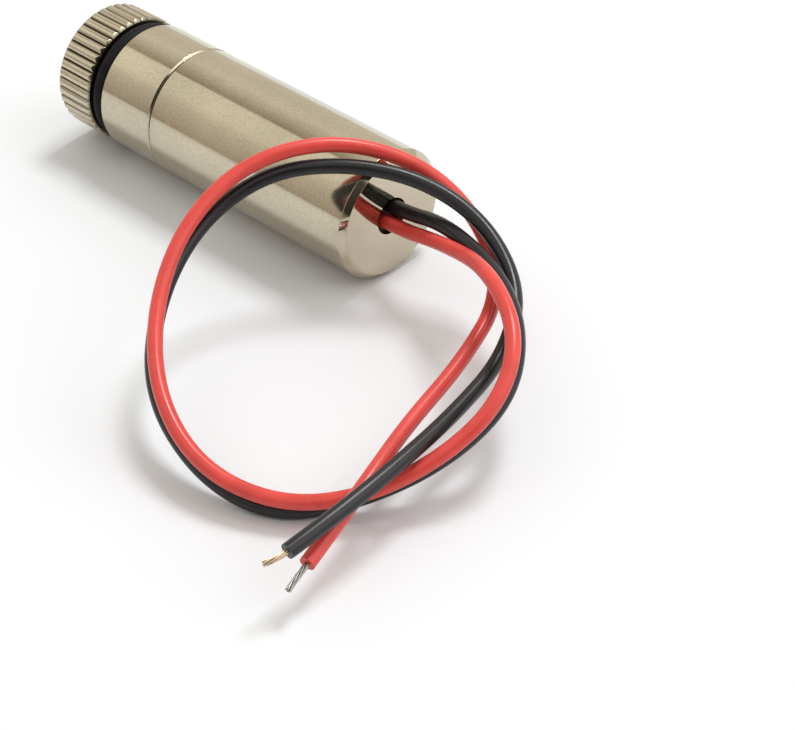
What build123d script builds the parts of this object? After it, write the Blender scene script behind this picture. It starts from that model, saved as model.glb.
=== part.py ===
from build123d import *
import math
import os

# Focusable laser diode module: a plated brass barrel in two sections, a knurled focusing cap on an
# O-ring, the diode and its driver board inside, and two leads with stripped ends.
# Millimetres. X is the optical axis, towards the beam. The origin is on it, at the middle of the barrel.
# The module lies on its side, so what it rests on is one barrel radius below the axis.

# Barrel
BARREL_D = 12.0
REAR_BARREL_L = 24.7
FRONT_BARREL_L = 6.6
SHELL_WALL = 1.0
SHELL_BORE_D = BARREL_D - 2 * SHELL_WALL
END_WALL = 1.5
CABLE_HOLE_D = 3.4
REAR_CHAMFER = 0.5
SEAM_CHAMFER = 0.12
FRONT_CHAMFER = 0.2
SPIGOT_L = 6.0
SPIGOT_CLEARANCE = 0.02

# Focusing thread, as plain cylinders
THREAD_WALL = 1.5
THREAD_D = BARREL_D - 2 * THREAD_WALL
THREAD_CLEARANCE = 0.05
THREAD_DEPTH = 6.0
THREAD_ENGAGED = 2.8
MOUTH_CHAMFER = 0.3

# Focusing cap, flush with the barrel
FOCUS_GAP = 1.75
CAP_L = 4.25
KNURL_D = BARREL_D
KNURL_COUNT = 40
KNURL_RIDGE_D = 1.0
KNURL_CORE_DEPTH = 0.4
CAP_CHAMFER = 0.3
CAP_REAR_CHAMFER = 0.25

# O-ring between the cap and the barrel, in a groove round the cap's neck
O_RING_INSET = 0.2
O_RING_CLEARANCE = 0.02
O_RING_D = BARREL_D - 2 * O_RING_INSET
O_RING_CORD = FOCUS_GAP - 2 * O_RING_CLEARANCE
GROOVE_D = O_RING_D - 2 * (O_RING_CORD + O_RING_CLEARANCE)

# Lens in the cap's neck, behind the aperture, with its retainer and the spring that takes up the thread's play
NECK_WALL = 0.55
LENS_CLEARANCE = 0.02
LENS_D = GROOVE_D - 2 * (NECK_WALL + LENS_CLEARANCE)
LENS_RIM = 1.6
LENS_DOME_H = 0.65
LENS_DOME_MARGIN = 0.2
LENS_LEDGE = 0.7
APERTURE_D = LENS_D - 2 * LENS_LEDGE
APERTURE_FLARE = 1.4
APERTURE_MOUTH_D = APERTURE_D + 2 * APERTURE_FLARE
APERTURE_WALL = 2.5
APERTURE_LAND = 1.1
RETAINER_L = 1.8
RETAINER_WALL = 0.9
RETAINER_BORE_D = LENS_D - 2 * RETAINER_WALL
RETAINER_SLOT_W = 0.8
RETAINER_SLOT_DEPTH = 0.5
SPRING_SIDE_CLEARANCE = 0.5
SPRING_D = THREAD_D - 2 * SPRING_SIDE_CLEARANCE
SPRING_WIRE_D = 0.5
SPRING_COILS = 3

# Laser diode
STEM_D = 5.6
STEM_T = 1.2
STEM_CLEARANCE = 0.01
CAN_D = 3.55
CAN_H = 2.3
CAN_WALL = 0.2
CAN_FLANGE_W = 0.325
CAN_FLANGE_D = CAN_D + 2 * CAN_FLANGE_W
CAN_FLANGE_T = 0.3
CAN_CLEARANCE = 0.1
WINDOW_HOLE_D = 1.6
WINDOW_LAP = 0.4
WINDOW_D = WINDOW_HOLE_D + 2 * WINDOW_LAP
WINDOW_T = 0.25
POST_L = 1.3
POST_W = 1.2
POST_H = 0.9
CHIP_L = 0.9
CHIP_W = 0.5
CHIP_H = 0.25
PIN_D = 0.4
PIN_SPREAD = 1.0
PIN_L = 4.5
PIN_STUB_L = 0.4
PIN_SEAL_D = 1.0
SPIGOT_WALL = 0.98
CLAMP_D = SHELL_BORE_D - 2 * (SPIGOT_CLEARANCE + SPIGOT_WALL)
CLAMP_PIN_ROOM = 0.6
CLAMP_BORE_D = 2 * (PIN_SPREAD + PIN_D / 2 + CLAMP_PIN_ROOM)
CLAMP_L = 2.0
CLAMP_RECESS = 0.2
CLAMP_CLEARANCE = 0.02

# Driver board, its parts and its sleeve
BOARD_T = 0.6
BOARD_EDGE_CLEARANCE = 0.03
BOARD_NOSE_GAP = 0.35
SLEEVE_WALL = 0.3
SLEEVE_CLEARANCE = 0.05
SLEEVE_OVERHANG = 0.6
DRIVER_CHIP = (2.9, 1.6, 1.1)
TRANSISTOR = (2.9, 1.3, 1.0)
LEG = (0.4, 0.6, 0.3)
LEG_PITCH = 0.95
CAPACITOR = (1.6, 0.8, 0.8)
RESISTOR = (1.6, 0.8, 0.45)
TRIMMER = (3.2, 3.0, 0.9)
TRIMMER_ROTOR_D = 2.4
TRIMMER_ROTOR_H = 0.4
TRIMMER_SLOT_W = 0.5
TRIMMER_SLOT_DEPTH = 0.25
END_ROW_INSET = 1.4
CAPACITOR_OFFSET = 1.7
NOSE_RESISTOR_OFFSET = 2.6
TAIL_RESISTOR_OFFSET = 2.0
TRIMMER_OFFSET = 1.6
TRANSISTOR_OFFSET = 1.4
SOLDER_FOOT_D = 1.3
SOLDER_TOP_D = 0.6
SOLDER_H = 0.7

# Leads
LEAD_D = 1.3
CORE_D = 0.48
CORE_TIP_L = 2.5
CORE_RISE_START = 0.5
CORE_RISE_END = 1.3
CORE_LAP_START = 1.5
CORE_END = 3.4
CORE_BEND_R = 0.5
PLUG_L = 2.5
PLUG_CLEARANCE = 0.02
LEAD_ARC_SHARE = 0.45

# Routes of the two leads, from the middle of the cable hole in the rear face
RED_ROUTE = [
    (4.6, 0.4, -0.6), (-0.9, 0.4, -0.6), (-7.9, 1.8, 1.9), (-15.8, 4.8, 4.9), (-22.4, 8.6, 4.0),
    (-24.7, 13.3, 1.3), (-23.7, 18.7, -1.3), (-20.7, 24.6, -3.3), (-15.9, 29.1, -3.9),
    (-9.2, 31.0, -2.8), (-2.5, 29.1, -0.3), (2.8, 24.2, 3.1), (5.5, 17.8, 6.8), (4.7, 11.1, 9.6),
    (0.8, 4.8, 10.0), (-4.3, 0.0, 7.3), (-9.6, -1.2, 3.1), (-14.5, 2.0, 0.0), (-16.9, 9.4, -1.3),
    (-18.8, 17.7, -1.5), (-21.6, 25.5, -1.3), (-23.3, 33.0, -2.6),
]
BLACK_ROUTE = [
    (4.6, -0.4, 0.6), (-0.9, -0.4, 0.6), (-7.0, 0.5, 2.8), (-14.6, 2.2, 2.3), (-20.8, 6.5, 1.9),
    (-24.0, 11.6, 0.0), (-23.2, 17.6, -2.5), (-20.0, 23.7, -4.5), (-15.3, 29.0, -5.6),
    (-8.5, 30.5, -4.4), (-0.8, 28.5, -1.6), (4.2, 23.0, 1.7), (6.0, 16.4, 5.3), (4.2, 10.2, 7.9),
    (-0.3, 5.4, 8.5), (-5.5, 1.4, 7.1), (-10.9, -0.3, 4.2), (-16.3, 1.6, 0.8), (-19.6, 7.4, -0.6),
    (-21.3, 14.9, -0.7), (-22.5, 22.5, -0.3), (-23.0, 29.3, -0.3), (-22.7, 34.3, -0.8),
]

# Stations along the optical axis
BARREL_L = REAR_BARREL_L + FRONT_BARREL_L
REAR_X = -BARREL_L / 2
SEAM_X = REAR_X + REAR_BARREL_L
FRONT_X = REAR_X + BARREL_L
CAVITY_X = REAR_X + END_WALL
SPIGOT_X = SEAM_X - SPIGOT_L
STEM_REAR_X = SPIGOT_X + CLAMP_L + CLAMP_RECESS
STEM_FRONT_X = STEM_REAR_X + STEM_T
CAN_TOP_X = STEM_FRONT_X + CAN_H
SPRING_SEAT_X = FRONT_X - THREAD_DEPTH
NECK_X = FRONT_X - THREAD_ENGAGED
CAP_REAR_X = FRONT_X + FOCUS_GAP
CAP_FRONT_X = CAP_REAR_X + CAP_L
LENS_SEAT_X = CAP_FRONT_X - APERTURE_WALL
LENS_REAR_X = LENS_SEAT_X - LENS_RIM
RETAINER_X = LENS_REAR_X - RETAINER_L

# Radii and heights that pieces share
BARREL_R = BARREL_D / 2
CAVITY_R = SHELL_BORE_D / 2
THREAD_R = THREAD_D / 2
LENS_BORE_R = LENS_D / 2 + LENS_CLEARANCE
CAN_HOLE_R = CAN_FLANGE_D / 2 + CAN_CLEARANCE
STEM_BORE_R = STEM_D / 2 + STEM_CLEARANCE
CLAMP_BORE_R = CLAMP_D / 2
SLEEVE_R = CAVITY_R - SLEEVE_CLEARANCE
SLEEVE_BORE_R = SLEEVE_R - SLEEVE_WALL
BOARD_BOTTOM = PIN_D / 2
BOARD_TOP = BOARD_BOTTOM + BOARD_T
UPPER_PIN_Z = BOARD_TOP + PIN_D / 2
BOARD_W = 2 * (math.sqrt(SLEEVE_BORE_R**2 - BOARD_TOP**2) - BOARD_EDGE_CLEARANCE)

# The board lies between the lead ends and the front barrel's spigot
LEAD_END_X = REAR_X + RED_ROUTE[0][0]
BOARD_TAIL_X = LEAD_END_X + CORE_LAP_START
BOARD_NOSE_X = SPIGOT_X - BOARD_NOSE_GAP
BOARD_L = BOARD_NOSE_X - BOARD_TAIL_X
BOARD_MID_X = (BOARD_NOSE_X + BOARD_TAIL_X) / 2

# Rows of parts across the board: beside the diode's pins, between pins and leads, and beside the lead ends
PIN_TAIL_X = STEM_REAR_X - PIN_L
NOSE_ROW_X = BOARD_NOSE_X - END_ROW_INSET
MIDDLE_ROW_X = (PIN_TAIL_X + LEAD_END_X + CORE_END) / 2
TAIL_ROW_X = BOARD_TAIL_X + END_ROW_INSET


def turned(*profile):
    """A piece turned about the optical axis, from the (x, radius) corners of its section."""
    return revolve(make_face(Polyline(*profile, close=True)), Axis.X)


def rod(x_start, x_end, radius, y=0.0, z=0.0):
    return Pos(0, y, z) * turned((x_start, 0), (x_start, radius), (x_end, radius), (x_end, 0))


def ring(x_start, x_end, bore_r, outer_r, y=0.0, z=0.0):
    return Pos(0, y, z) * turned((x_start, bore_r), (x_start, outer_r), (x_end, outer_r), (x_end, bore_r))


def rear_barrel():
    hole_r = CABLE_HOLE_D / 2
    return turned(
        (REAR_X, hole_r),
        (REAR_X, BARREL_R - REAR_CHAMFER),
        (REAR_X + REAR_CHAMFER, BARREL_R),
        (SEAM_X - SEAM_CHAMFER, BARREL_R),
        (SEAM_X, BARREL_R - SEAM_CHAMFER),
        (SEAM_X, CAVITY_R),
        (CAVITY_X, CAVITY_R),
        (CAVITY_X, hole_r),
    )


def front_barrel():
    """The section that carries the thread for the cap and the seat of the diode."""
    spigot_r = CAVITY_R - SPIGOT_CLEARANCE
    return turned(
        (SPIGOT_X, CLAMP_BORE_R),
        (SPIGOT_X, spigot_r),
        (SEAM_X, spigot_r),
        (SEAM_X, BARREL_R - SEAM_CHAMFER),
        (SEAM_X + SEAM_CHAMFER, BARREL_R),
        (FRONT_X - FRONT_CHAMFER, BARREL_R),
        (FRONT_X, BARREL_R - FRONT_CHAMFER),
        (FRONT_X, THREAD_R + MOUTH_CHAMFER),
        (FRONT_X - MOUTH_CHAMFER, THREAD_R),
        (SPRING_SEAT_X, THREAD_R),
        (SPRING_SEAT_X, CAN_HOLE_R),
        (STEM_FRONT_X, CAN_HOLE_R),
        (STEM_FRONT_X, STEM_BORE_R),
        (STEM_REAR_X, STEM_BORE_R),
        (STEM_REAR_X, CLAMP_BORE_R),
    )


def knurled_head():
    """Rounded straight ridges round the rim, from a pattern of circles on a core."""
    ridge_r = KNURL_RIDGE_D / 2
    outline = Circle(KNURL_D / 2 - KNURL_CORE_DEPTH)
    for place in PolarLocations(KNURL_D / 2 - ridge_r, KNURL_COUNT):
        outline += place * Circle(ridge_r)
    head = extrude(Plane.YZ.offset(CAP_REAR_X) * outline, CAP_L)
    envelope = turned(
        (CAP_REAR_X, 0),
        (CAP_REAR_X, KNURL_D / 2 - CAP_REAR_CHAMFER),
        (CAP_REAR_X + 2 * CAP_REAR_CHAMFER, KNURL_D / 2 + CAP_REAR_CHAMFER),
        (CAP_FRONT_X - 2 * CAP_CHAMFER, KNURL_D / 2 + CAP_CHAMFER),
        (CAP_FRONT_X, KNURL_D / 2 - CAP_CHAMFER),
        (CAP_FRONT_X, 0),
    )
    return head & envelope


def focus_cap():
    """Knurled head with a threaded neck, an O-ring groove behind the head and a countersunk aperture."""
    neck_r = THREAD_R - THREAD_CLEARANCE
    groove_r = GROOVE_D / 2
    neck = turned(
        (NECK_X, 0),
        (NECK_X, neck_r),
        (FRONT_X, neck_r),
        (FRONT_X, groove_r),
        (CAP_REAR_X, groove_r),
        (CAP_REAR_X, 0),
    )
    passage = turned(
        (NECK_X, 0),
        (NECK_X, LENS_BORE_R),
        (LENS_SEAT_X, LENS_BORE_R),
        (LENS_SEAT_X, APERTURE_D / 2),
        (LENS_SEAT_X + APERTURE_LAND, APERTURE_D / 2),
        (CAP_FRONT_X, APERTURE_MOUTH_D / 2),
        (CAP_FRONT_X, 0),
    )
    return knurled_head() + neck - passage


def o_ring():
    section = Pos((FRONT_X + CAP_REAR_X) / 2, (O_RING_D - O_RING_CORD) / 2) * Circle(O_RING_CORD / 2)
    return revolve(section, Axis.X)


def lens():
    dome_r = APERTURE_D / 2 - LENS_DOME_MARGIN
    apex = (LENS_SEAT_X + LENS_DOME_H, 0)
    outline = Polyline(
        apex,
        (LENS_REAR_X, 0),
        (LENS_REAR_X, LENS_D / 2),
        (LENS_SEAT_X, LENS_D / 2),
        (LENS_SEAT_X, dome_r),
    )
    dome = TangentArc(apex, (LENS_SEAT_X, dome_r), tangent=(0, 1))
    return revolve(make_face(outline.edges() + dome.edges()), Axis.X)


def lens_retainer():
    """Ring behind the lens, with a slot across its rear face for a driver."""
    body = ring(RETAINER_X, LENS_REAR_X, RETAINER_BORE_D / 2, LENS_D / 2)
    slot = Pos(RETAINER_X, 0, 0) * Box(2 * RETAINER_SLOT_DEPTH, 2 * LENS_D, RETAINER_SLOT_W)
    return body - slot


def focus_spring():
    """Coil between the floor of the threaded bore and the cap's neck."""
    height = NECK_X - SPRING_SEAT_X - SPRING_WIRE_D
    path = Helix(height / SPRING_COILS, height, (SPRING_D - SPRING_WIRE_D) / 2)
    section = Plane(path @ 0, z_dir=path % 0) * Circle(SPRING_WIRE_D / 2)
    coil = sweep(section, path=path, is_frenet=True)
    return Pos(SPRING_SEAT_X + SPRING_WIRE_D / 2, 0, 0) * Rot(0, 90, 0) * coil


def lower_pin_places():
    return [-PIN_SPREAD, PIN_SPREAD]


def diode_stem():
    """Round base with two holes for the insulated pins, and the post that carries the chip."""
    stem = rod(STEM_REAR_X, STEM_FRONT_X, STEM_D / 2)
    for y in lower_pin_places():
        stem -= rod(STEM_REAR_X, STEM_FRONT_X, PIN_SEAL_D / 2, y)
    post_place = Pos(STEM_FRONT_X + POST_L / 2, 0, -CHIP_H - POST_H / 2)
    return stem + post_place * Box(POST_L, POST_W, POST_H)


def diode_can():
    bore_r = CAN_D / 2 - CAN_WALL
    return turned(
        (STEM_FRONT_X, bore_r),
        (STEM_FRONT_X, CAN_FLANGE_D / 2),
        (STEM_FRONT_X + CAN_FLANGE_T, CAN_FLANGE_D / 2),
        (STEM_FRONT_X + CAN_FLANGE_T, CAN_D / 2),
        (CAN_TOP_X, CAN_D / 2),
        (CAN_TOP_X, WINDOW_HOLE_D / 2),
        (CAN_TOP_X - CAN_WALL, WINDOW_HOLE_D / 2),
        (CAN_TOP_X - CAN_WALL, bore_r),
    )


def diode_window():
    return rod(CAN_TOP_X - CAN_WALL - WINDOW_T, CAN_TOP_X - CAN_WALL, WINDOW_D / 2)


def diode_chip():
    """The chip on the post, with its top on the optical axis and its front at the post's end."""
    return Pos(STEM_FRONT_X + POST_L - CHIP_L / 2, 0, -CHIP_H / 2) * Box(CHIP_L, CHIP_W, CHIP_H)


def diode_pins():
    """Two insulated pins through the stem, under the board, and the common pin above it."""
    pins = [rod(PIN_TAIL_X, STEM_FRONT_X + PIN_STUB_L, PIN_D / 2, y) for y in lower_pin_places()]
    pins.append(rod(PIN_TAIL_X, STEM_REAR_X, PIN_D / 2, 0, UPPER_PIN_Z))
    return Compound(children=pins)


def pin_seals():
    seals = [ring(STEM_REAR_X, STEM_FRONT_X, PIN_D / 2, PIN_SEAL_D / 2, y) for y in lower_pin_places()]
    return Compound(children=seals)


def clamp_ring():
    outer_r = CLAMP_BORE_R - CLAMP_CLEARANCE
    return ring(STEM_REAR_X - CLAMP_L, STEM_REAR_X, CLAMP_BORE_D / 2, outer_r)


def board_sleeve():
    return ring(BOARD_TAIL_X - SLEEVE_OVERHANG, SPIGOT_X - SLEEVE_CLEARANCE, SLEEVE_BORE_R, SLEEVE_R)


def driver_board():
    return Pos(BOARD_MID_X, 0, BOARD_BOTTOM + BOARD_T / 2) * Box(BOARD_L, BOARD_W, BOARD_T)


def on_board(size, x, y, above=True):
    """A block of the given size on the board's upper or lower face."""
    height = BOARD_TOP + size[2] / 2 if above else BOARD_BOTTOM - size[2] / 2
    return Pos(x, y, height) * Box(*size)


def legged_package(body, left_legs, right_legs, y, above):
    """A moulded package in the middle row with legs on its long sides, placed by counts of leg pitches."""
    package = on_board(body, MIDDLE_ROW_X, y, above)
    reach = body[1] / 2 + LEG[1] / 2
    for side, legs in ((1, left_legs), (-1, right_legs)):
        for leg in legs:
            package += on_board(LEG, MIDDLE_ROW_X + leg * LEG_PITCH, y + side * reach, above)
    return package


def driver_chip():
    return legged_package(DRIVER_CHIP, (-1, 0, 1), (-1, 0, 1), 0, False)


def power_transistor():
    return legged_package(TRANSISTOR, (0,), (-1, 1), TRANSISTOR_OFFSET, True)


def power_trimmer():
    """Trimmer with a slotted rotor, which sets the diode's current."""
    rotor_top = BOARD_TOP + TRIMMER[2] + TRIMMER_ROTOR_H
    rotor = Cylinder(TRIMMER_ROTOR_D / 2, TRIMMER_ROTOR_H)
    slot = Box(TRIMMER_ROTOR_D, TRIMMER_SLOT_W, 2 * TRIMMER_SLOT_DEPTH)
    trimmer = on_board(TRIMMER, MIDDLE_ROW_X, -TRIMMER_OFFSET)
    trimmer += Pos(MIDDLE_ROW_X, -TRIMMER_OFFSET, rotor_top - TRIMMER_ROTOR_H / 2) * rotor
    return trimmer - Pos(MIDDLE_ROW_X, -TRIMMER_OFFSET, rotor_top) * slot


def chip_capacitors():
    return Compound(children=[on_board(CAPACITOR, x, CAPACITOR_OFFSET) for x in (NOSE_ROW_X, TAIL_ROW_X)])


def chip_resistors():
    """One on each side of the diode's pins and of the lead ends, under the board."""
    resistors = []
    for x, offset in ((NOSE_ROW_X, NOSE_RESISTOR_OFFSET), (TAIL_ROW_X, TAIL_RESISTOR_OFFSET)):
        resistors += [on_board(RESISTOR, x, y, False) for y in (-offset, offset)]
    return Compound(children=resistors)


def lead_path(route):
    """Straight runs joined by arcs that are as large as the runs allow."""
    points = [Vector(REAR_X + x, y, z) for x, y, z in route]
    radii = []
    for before, here, after in zip(points, points[1:], points[2:]):
        turn = math.radians((here - before).get_angle(after - here))
        shorter = min((here - before).length, (after - here).length)
        radii.append(LEAD_ARC_SHARE * shorter / math.tan(turn / 2))
    return FilletPolyline(*points, radius=radii), radii


def round_wire(path, diameter):
    return sweep(Plane(path @ 0, z_dir=path % 0) * Circle(diameter / 2), path=path)


def lead(route):
    """The insulation, as one solid round wire, from the board to the stripped end."""
    path, radii = lead_path(route)
    wire = round_wire(path, LEAD_D)
    expected = path.length * math.pi * (LEAD_D / 2) ** 2
    print("arc radii", [round(radius, 1) for radius in radii])
    print("length", round(path.length, 1), "volume over section times length", round(wire.volume / expected, 4))
    return wire


def inner_core(route, above):
    """The bare end that steps up or down to the board and lies along its face."""
    y, z = route[0][1:]
    seat = BOARD_TOP + CORE_D / 2 if above else BOARD_BOTTOM - CORE_D / 2
    path = FilletPolyline(
        (LEAD_END_X, y, z),
        (LEAD_END_X + CORE_RISE_START, y, z),
        (LEAD_END_X + CORE_RISE_END, y, seat),
        (LEAD_END_X + CORE_END, y, seat),
        radius=CORE_BEND_R,
    )
    return round_wire(path, CORE_D)


def lead_core(route, above):
    """The two bare ends of one conductor: at the board, and stripped at the free end."""
    path, _ = lead_path(route)
    tip = extrude(Plane(path @ 1, z_dir=path % 1) * Circle(CORE_D / 2), CORE_TIP_L)
    return Compound(children=[inner_core(route, above), tip])


def solder_dome(x, y, above, wire_d):
    """A cone of solder on the board, notched where its wire lies along the face."""
    length = 2 * SOLDER_FOOT_D
    cone = Pos(0, 0, SOLDER_H / 2) * Cone(SOLDER_FOOT_D / 2, SOLDER_TOP_D / 2, SOLDER_H)
    wire = Pos(0, 0, wire_d / 2) * Rot(0, 90, 0) * Cylinder(wire_d / 2, length)
    under_wire = Pos(0, 0, wire_d / 4) * Box(length, wire_d, wire_d / 2)
    dome = cone - wire - under_wire
    if above:
        return Pos(x, y, BOARD_TOP) * dome
    return Pos(x, y, BOARD_BOTTOM) * Rot(180, 0, 0) * dome


def solder_joints():
    pin_x = BOARD_NOSE_X - SOLDER_FOOT_D
    core_x = BOARD_TAIL_X + SOLDER_FOOT_D
    joints = [solder_dome(pin_x, y, False, PIN_D) for y in lower_pin_places()]
    joints.append(solder_dome(pin_x, 0, True, PIN_D))
    joints.append(solder_dome(core_x, RED_ROUTE[0][1], False, CORE_D))
    joints.append(solder_dome(core_x, BLACK_ROUTE[0][1], True, CORE_D))
    return Compound(children=[solid for joint in joints for solid in joint.solids()])


def lead_plug():
    """Potting behind the end wall, which holds the two leads and closes the cable hole."""
    plug = rod(CAVITY_X, CAVITY_X + PLUG_L, CAVITY_R - PLUG_CLEARANCE)
    for route in (RED_ROUTE, BLACK_ROUTE):
        y, z = route[0][1:]
        plug -= rod(CAVITY_X, CAVITY_X + PLUG_L, LEAD_D / 2 + PLUG_CLEARANCE, y, z)
    return plug


def build():
    return {
        "rear_barrel": rear_barrel(),
        "front_barrel": front_barrel(),
        "focus_cap": focus_cap(),
        "o_ring": o_ring(),
        "lens": lens(),
        "lens_retainer": lens_retainer(),
        "focus_spring": focus_spring(),
        "diode_stem": diode_stem(),
        "diode_can": diode_can(),
        "diode_window": diode_window(),
        "diode_chip": diode_chip(),
        "diode_pins": diode_pins(),
        "pin_seals": pin_seals(),
        "clamp_ring": clamp_ring(),
        "board_sleeve": board_sleeve(),
        "driver_board": driver_board(),
        "driver_chip": driver_chip(),
        "power_transistor": power_transistor(),
        "power_trimmer": power_trimmer(),
        "chip_capacitors": chip_capacitors(),
        "chip_resistors": chip_resistors(),
        "solder_joints": solder_joints(),
        "lead_plug": lead_plug(),
        "red_lead": lead(RED_ROUTE),
        "black_lead": lead(BLACK_ROUTE),
        "red_core": lead_core(RED_ROUTE, False),
        "black_core": lead_core(BLACK_ROUTE, True),
    }


os.makedirs("parts", exist_ok=True)
for node, shape in build().items():
    export_step(shape, f"parts/{node}.step")
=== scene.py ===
import math

import bmesh
import bpy
from bpy.props import FloatProperty, FloatVectorProperty, IntProperty, PointerProperty
from mathutils import Matrix, Vector


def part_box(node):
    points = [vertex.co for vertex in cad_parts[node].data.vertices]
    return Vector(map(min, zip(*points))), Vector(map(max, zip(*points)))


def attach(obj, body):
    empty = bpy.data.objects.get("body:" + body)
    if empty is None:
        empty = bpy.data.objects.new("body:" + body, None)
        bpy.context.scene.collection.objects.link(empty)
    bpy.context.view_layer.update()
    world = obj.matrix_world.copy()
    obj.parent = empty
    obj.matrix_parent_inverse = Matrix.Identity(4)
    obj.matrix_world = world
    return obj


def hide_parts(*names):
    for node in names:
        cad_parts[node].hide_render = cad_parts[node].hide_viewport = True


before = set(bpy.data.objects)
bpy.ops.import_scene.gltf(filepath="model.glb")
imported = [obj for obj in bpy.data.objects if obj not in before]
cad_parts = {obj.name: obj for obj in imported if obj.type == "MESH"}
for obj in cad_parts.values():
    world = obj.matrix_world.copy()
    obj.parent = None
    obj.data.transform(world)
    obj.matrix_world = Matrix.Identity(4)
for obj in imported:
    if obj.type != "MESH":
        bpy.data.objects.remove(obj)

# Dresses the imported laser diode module: turned and knurled metal, rubber, leads with stripped strands,
# the optics and the driver, on a white studio floor. Metres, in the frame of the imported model.

bl_info = {
    "name": "Laser Diode Module",
    "version": (1, 0, 0),
    "blender": (4, 5, 0),
    "location": "View3D > Sidebar > Laser Module",
    "description": "Makes the visible pieces of a focusable laser diode module and its studio stage",
    "category": "Object",
}

MM = 0.001

# Stations on the optical axis and radii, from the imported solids
REAR_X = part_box("rear_barrel")[0].x
SEAM_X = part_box("rear_barrel")[1].x
SPIGOT_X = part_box("front_barrel")[0].x
FRONT_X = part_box("front_barrel")[1].x
BARREL_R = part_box("rear_barrel")[1].z
NECK_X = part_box("focus_cap")[0].x
CAP_FRONT_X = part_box("focus_cap")[1].x
RING_LOW, RING_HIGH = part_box("o_ring")
CAP_REAR_X = RING_LOW.x + RING_HIGH.x - FRONT_X
FLOOR_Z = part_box("rear_barrel")[0].z

# Where the window and the dark place of the camera lie, as seen from the module, and the angles from
# their middle at which they start and at which they are full
WINDOW_DIRECTION = (-0.68, -0.40, 0.62)
WINDOW_ANGLES = (0.6, 0.3)
CAMERA_DIRECTION = (-0.80, 0.42, 0.40)
CAMERA_ANGLES = (0.54, 0.38)

# Brightness of the ceiling panels, from the dusk to the full sky, at shares of a turn about the optical
# axis: half a turn is level on the leads' side, three quarters is straight up, and one is level opposite
PANEL_STOPS = (
    (0.5, 0.06), (0.535, 0.24), (0.575, 0.40), (0.613, 0.60), (0.651, 0.92), (0.69, 1.0),
    (0.746, 0.94), (0.752, 0.0), (0.771, 0.14), (0.808, 0.52), (0.85, 0.8), (0.92, 0.64), (1.0, 0.62),
)

# Fineness of the meshes
TURNED_STEPS = 192
STEPS_PER_RIDGE = 14
CHAMFER_STEPS = 4
RING_STEPS = 48
LINE_STEPS = 24
LEAD_ROUNDNESS = 7
STRAND_ROUNDNESS = 3
EDGE_SEGMENTS = 3
MERGE_DISTANCE = 0.0001 * MM

# Edges sharper than these are rounded, or kept sharp in the shading
ROUNDED_ANGLE = math.radians(25)
KNURL_ANGLE = math.radians(32)
SHARP_ANGLE = math.radians(30)

# Marks on turned metal, per metre, and how far a surface looks along the axis where a wall ends and
# where a faced end begins
TOOL_RINGS = 5200.0
SATIN_GRAIN = 5200.0
FINE_GRAIN = 9000.0
SMUDGES = 160.0
WALL_TO_FACE = (0.6, 0.95)

# Marks on the insulation, on the polish of the optics and on the paper, per metre
VINYL_RIPPLE = 420.0
VINYL_GRAIN = 7000.0
OPTIC_HAZE = 600.0
PAPER_MOTTLE = 60.0

# Strands round the middle one
STRANDS_AROUND = 6

# Routes of the leads in millimetres from the middle of the cable hole, from the driver board to the
# stripped end. The top of the loop lies just over the rim of the rear barrel.
RED_ROUTE = [
    (4.6, 0.4, -0.6), (-0.9, 0.4, -0.6), (-7.9, 1.8, 1.9), (-15.8, 4.8, 4.9), (-22.4, 8.6, 4.0),
    (-24.7, 13.3, 1.3), (-23.7, 18.7, -1.3), (-20.7, 24.6, -3.3), (-15.9, 29.1, -3.9),
    (-9.2, 31.0, -2.8), (-2.3, 29.0, -0.5), (3.4, 23.8, 2.6), (6.6, 17.0, 5.8), (6.3, 9.8, 8.2),
    (2.6, 3.2, 8.4), (-2.7, -1.6, 5.7), (-8.6, -2.2, 2.1), (-14.2, 1.7, -0.4), (-16.9, 9.4, -1.3),
    (-18.8, 17.7, -1.5), (-21.6, 25.5, -1.3), (-23.3, 33.0, -2.6),
]
BLACK_ROUTE = [
    (4.6, -0.4, 0.6), (-0.9, -0.4, 0.6), (-7.0, 0.5, 2.8), (-14.6, 2.2, 2.3), (-20.8, 6.5, 1.9),
    (-24.0, 11.6, 0.0), (-23.2, 17.6, -2.5), (-20.0, 23.7, -4.5), (-15.3, 29.0, -5.6),
    (-8.5, 30.5, -4.4), (-0.6, 28.4, -1.8), (4.7, 22.6, 1.2), (7.0, 15.6, 4.4), (5.7, 8.9, 6.6),
    (1.4, 3.9, 6.9), (-4.0, -0.1, 5.6), (-10.0, -1.3, 3.2), (-16.0, 1.3, 0.5), (-19.6, 7.4, -0.6),
    (-21.3, 14.9, -0.7), (-22.5, 22.5, -0.3), (-23.0, 29.3, -0.3), (-22.7, 34.3, -0.8),
]

# Bare ends at the driver board: offsets along the axis, and the heights at which they lie on its two faces
BOARD_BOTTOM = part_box("driver_board")[0].z
BOARD_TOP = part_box("driver_board")[1].z
CORE_STEPS = (0.0, 0.5 * MM, 1.3 * MM, 3.4 * MM)


def length(name, description, default):
    return FloatProperty(name=name, description=description, default=default, unit="LENGTH", precision=5)


def colour(name, description, default):
    return FloatVectorProperty(
        name=name, description=description, default=default, subtype="COLOR", size=3, min=0.0, max=1.0
    )


def share(name, description, default):
    return FloatProperty(
        name=name, description=description, default=default, subtype="FACTOR", min=0.0, max=1.0
    )


def brightness(name, description, default):
    return FloatProperty(name=name, description=description, default=default, min=0.0)


def rotation(name, description, degrees):
    return FloatProperty(
        name=name, description=description, default=math.radians(degrees), subtype="ANGLE"
    )


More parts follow.
